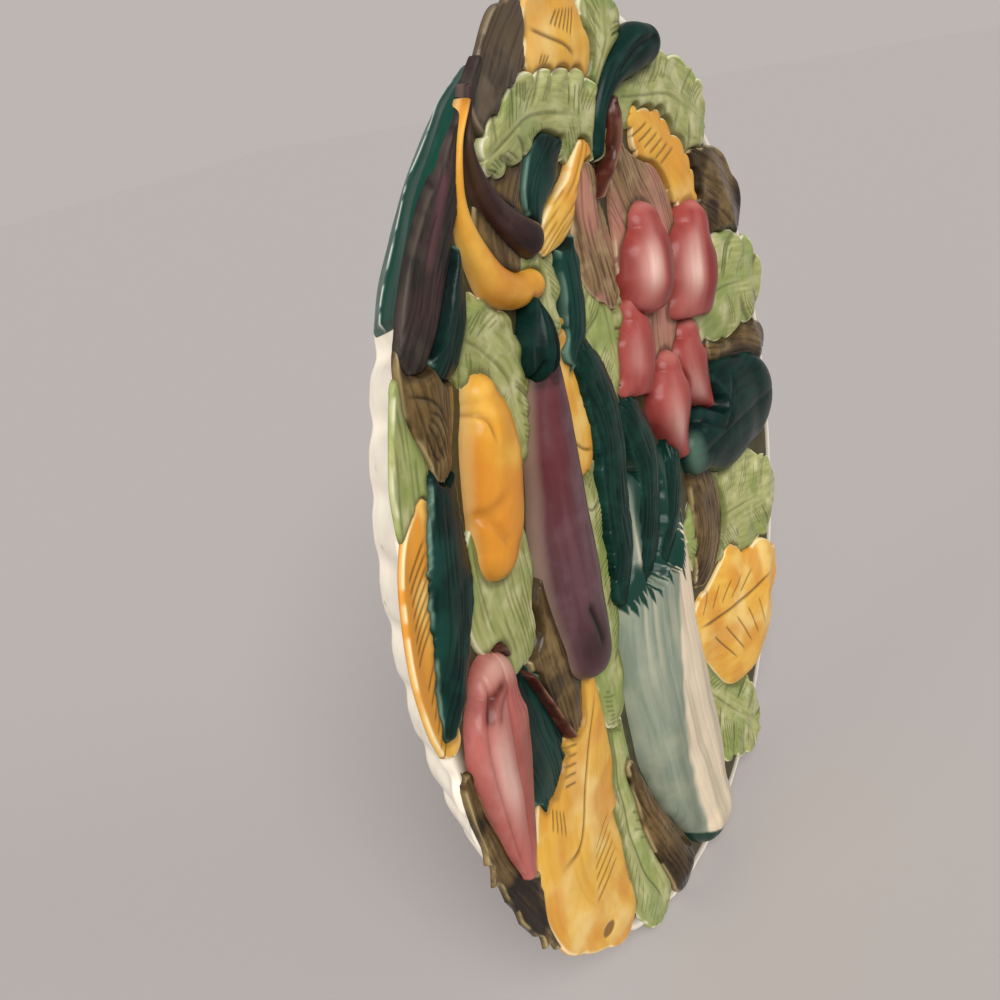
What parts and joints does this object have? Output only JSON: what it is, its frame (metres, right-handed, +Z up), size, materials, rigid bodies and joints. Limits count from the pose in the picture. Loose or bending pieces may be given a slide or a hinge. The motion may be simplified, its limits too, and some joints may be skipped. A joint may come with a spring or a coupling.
{
  "type": "wall platter",
  "caption": "Oval glazed earthenware wall platter with a turned-back rim, covered in moulded vegetables and leaves in relief, on a foot ring pierced for a hanging wire.",
  "frame": {"origin": "centre of the oval on the wall plane, in the back face of the foot ring", "axes": "+Z up along the long axis of the oval, +Y into the wall, front facing -Y, +X to the viewer's right"},
  "size_m": [0.3169, 0.043, 0.3964],
  "materials": {
    "cream": "gloss",
    "clay": "matte",
    "aubergine": "gloss",
    "dark_green": "gloss",
    "teal": "gloss",
    "squash": "gloss",
    "yellow": "gloss",
    "red_pepper": "gloss",
    "brown": "gloss",
    "lettuce": "gloss",
    "leek": "gloss",
    "stem": "gloss",
    "radicchio": "gloss"
  },
  "bodies": {
    "root": {"platter_body": "cream", "foot_ring": "clay", "teal_rim_leaf": "teal", "aubergine_calyx": "dark_green", "centre_aubergine": "aubergine", "yellow_squash": "squash", "long_pepper_stem": "stem", "long_red_pepper": "red_pepper", "radicchio_leaf": "radicchio", "chard_leaf": "dark_green", "small_aubergine": "aubergine", "yellow_chilli": "squash", "stem_bud": "stem", "stem_right": "brown", "leek_blade_left": "dark_green", "leek_blade_inner": "dark_green", "leek_blade_right": "dark_green", "leek_bulb": "leek", "red_pepper_top_left": "red_pepper", "red_pepper_top_right": "red_pepper", "red_pepper_low_centre": "red_pepper", "red_pepper_low_left": "red_pepper", "red_pepper_low_right": "red_pepper", "green_pepper": "dark_green", "onion_bulb": "brown", "dark_courgette": "dark_green", "dark_leaf_small": "dark_green", "yellow_leaf_inner": "yellow", "dark_leaf_band": "dark_green", "lettuce_leaf_notch": "lettuce", "lettuce_leaf_heart": "lettuce", "yellow_leaf_centre": "yellow", "lettuce_leaf_strip": "lettuce", "brown_leaf_left": "brown", "dark_leaf_left": "dark_green", "lettuce_leaf_squash": "lettuce", "lettuce_leaf_under": "lettuce", "red_stem": "stem", "dark_leaf_low": "dark_green", "brown_leaf_low": "brown", "yellow_leaf_low": "yellow", "brown_stem_low": "brown", "brown_leaf_base": "brown", "lettuce_leaf_base": "lettuce", "brown_leaf_right_low": "brown", "yellow_leaf_right": "yellow", "lettuce_leaf_right_low": "lettuce", "lettuce_leaf_corner": "lettuce", "lettuce_leaf_right": "lettuce", "brown_leaf_right": "brown", "yellow_leaf_top_right": "yellow", "brown_leaf_top_right": "brown", "lettuce_leaf_fan": "lettuce", "lettuce_leaf_crown": "lettuce", "brown_leaf_inner": "brown", "brown_leaf_top": "brown", "yellow_leaf_top": "yellow", "lettuce_leaf_top": "lettuce", "yellow_leaf_left": "yellow", "lettuce_leaf_left": "lettuce"}
  },
  "joints": []
}
